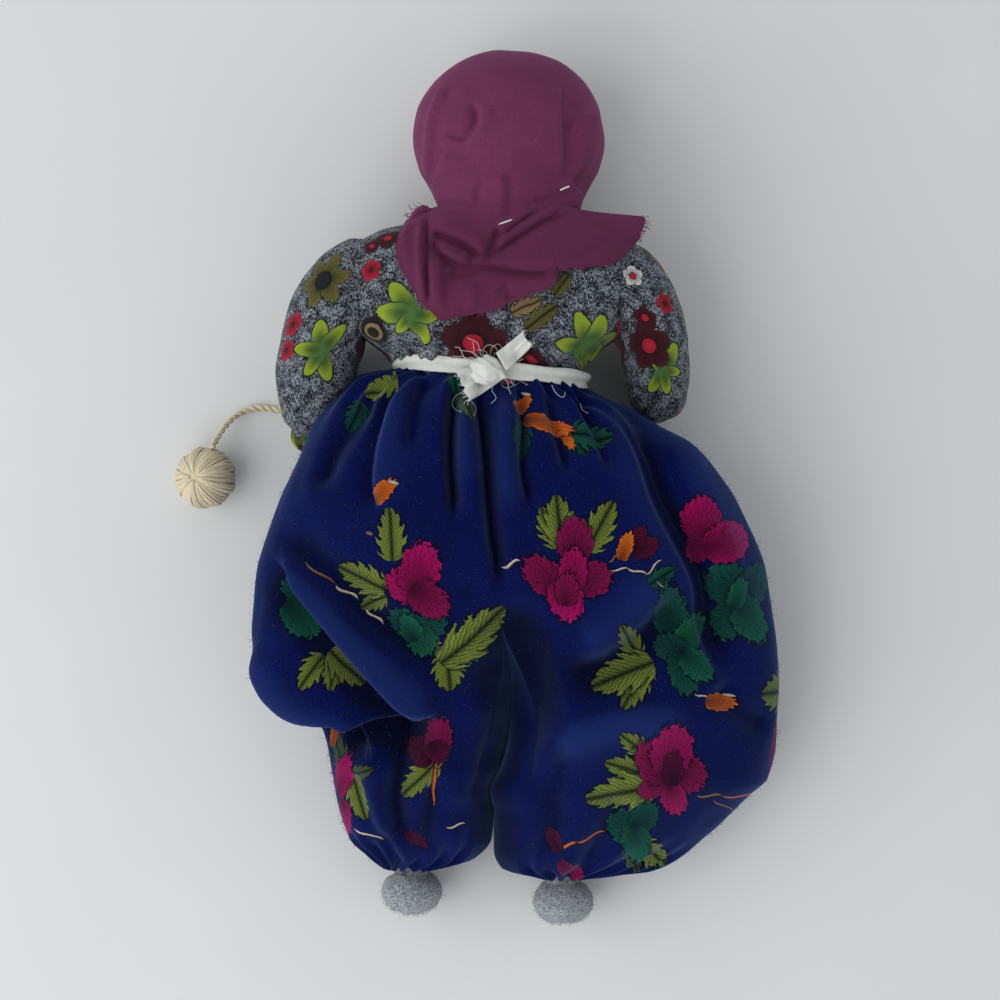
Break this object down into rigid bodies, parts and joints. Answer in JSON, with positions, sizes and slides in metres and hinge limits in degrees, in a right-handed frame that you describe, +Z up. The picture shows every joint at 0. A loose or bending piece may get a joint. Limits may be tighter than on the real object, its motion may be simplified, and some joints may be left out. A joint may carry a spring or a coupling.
{
  "type": "rag doll",
  "caption": "Stuffed cloth doll in a headscarf, printed blouse and baggy flowered trousers, lying on its front, with a wool ball on a yarn cord; head, arms, legs and feet move on sewn joints",
  "frame": {"origin": "on the table plane, on the flattened front of the trousers just above the hip crease", "axes": "+Y runs from the feet to the head, +X to the doll's right hand side as it lies on its front, +Z up out of its back"},
  "size_m": [0.196, 0.2821, 0.0628],
  "materials": {
    "plum_cotton": "plain woven cotton, frayed raw edges",
    "calico": "unbleached plain cotton over stuffing",
    "flower_print": "printed cotton, dark flecked ground with small flowers and leaves",
    "blue_flannel": "brushed cotton printed with roses and leaves",
    "white_tape": "torn white cotton strip",
    "grey_felt": "speckled wool felt",
    "cream_wool": "two-ply wool yarn",
    "dark_thread": "embroidery thread",
    "red_thread": "embroidery thread"
  },
  "bodies": {
    "body": {"torso": "calico", "blouse": "flower_print", "scarf_drape": "plum_cotton", "waist_tape": "white_tape", "waist_knot": "white_tape", "left_tape_end": "white_tape", "right_tape_end": "white_tape", "trousers_seat": "blue_flannel"},
    "neck": {"neck": "calico", "scarf_gather": "plum_cotton"},
    "head": {"head": "calico", "scarf_hood": "plum_cotton", "left_eye": "dark_thread", "right_eye": "dark_thread", "mouth": "red_thread"},
    "left_arm": {"left_sleeve": "flower_print", "left_forearm": "flower_print", "left_hand": "calico", "yarn_knot": "cream_wool"},
    "right_arm": {"right_sleeve": "flower_print", "right_forearm": "flower_print", "right_hand": "calico"},
    "left_leg": {"trousers_left_leg": "blue_flannel", "left_leg": "calico"},
    "right_leg": {"trousers_right_leg": "blue_flannel", "right_leg": "calico"},
    "left_foot": {"left_foot": "grey_felt"},
    "right_foot": {"right_foot": "grey_felt"},
    "wool_ball": {"yarn_cord": "cream_wool", "wool_ball": "cream_wool"}
  },
  "joints": [
    {"name": "head_turn", "type": "hinge", "parent": "body", "child": "neck", "pos_m": [-0.002, 0.09, 0.0278], "axis": [0, 1, 0], "range_deg": [-60, 60]},
    {"name": "head_nod", "type": "hinge", "parent": "neck", "child": "head", "pos_m": [-0.002, 0.09, 0.0278], "axis": [1, 0, 0], "range_deg": [-12, 12]},
    {"name": "left_shoulder", "type": "hinge", "parent": "body", "child": "left_arm", "pos_m": [-0.05, 0.065, 0.033], "axis": [1, 0, 0], "range_deg": [0, 110]},
    {"name": "right_shoulder", "type": "hinge", "parent": "body", "child": "right_arm", "pos_m": [0.034, 0.065, 0.033], "axis": [1, 0, 0], "range_deg": [0, 110]},
    {"name": "left_hip", "type": "hinge", "parent": "body", "child": "left_leg", "pos_m": [-0.04, -0.004, 0], "axis": [1, 0, 0], "range_deg": [0, 90]},
    {"name": "right_hip", "type": "hinge", "parent": "body", "child": "right_leg", "pos_m": [0.033, -0.004, 0], "axis": [1, 0, 0], "range_deg": [0, 90]},
    {"name": "left_ankle", "type": "hinge", "parent": "left_leg", "child": "left_foot", "pos_m": [-0.0338, -0.12165, 0.014], "axis": [1, 0, 0], "range_deg": [-15, 15]},
    {"name": "right_ankle", "type": "hinge", "parent": "right_leg", "child": "right_foot", "pos_m": [0.0158, -0.12465, 0.014], "axis": [1, 0, 0], "range_deg": [-15, 15]},
    {"name": "yarn_swing", "type": "hinge", "parent": "left_arm", "child": "wool_ball", "pos_m": [-0.07266, 0.0286, 0.0023], "axis": [0, 0, 1], "range_deg": [-60, 15]}
  ]
}
